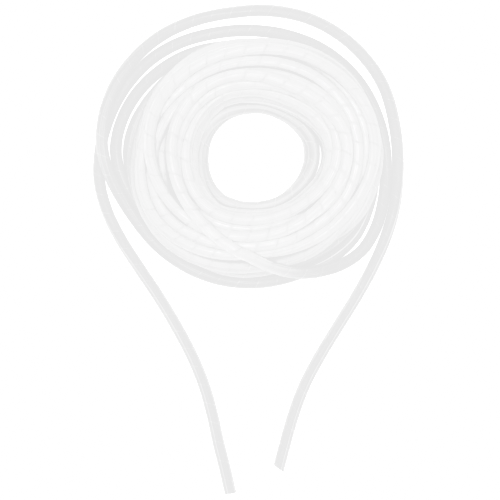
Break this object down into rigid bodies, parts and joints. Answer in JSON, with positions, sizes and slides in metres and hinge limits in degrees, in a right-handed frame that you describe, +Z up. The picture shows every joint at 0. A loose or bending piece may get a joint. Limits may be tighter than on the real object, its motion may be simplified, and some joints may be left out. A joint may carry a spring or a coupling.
{
  "type": "spiral cable wrap",
  "caption": "Hand-wound coil of soft plastic spiral wrap: a hollow tube with one helical slit, laid flat with its two cut ends loose.",
  "frame": {"origin": "centre of the whole part's box in plan, on the floor that it lies on", "axes": "+Z up along the coil's axis, +Y from the two cut ends towards the coil, +X to the right as seen from above"},
  "size_m": [0.1584, 0.25, 0.0326],
  "materials": {
    "natural_polyethylene": "natural undyed polyethylene: milky white, a little see-through, smooth and waxy"
  },
  "bodies": {
    "root": {"coil": "natural_polyethylene", "left_end": "natural_polyethylene", "right_end": "natural_polyethylene"}
  },
  "joints": []
}
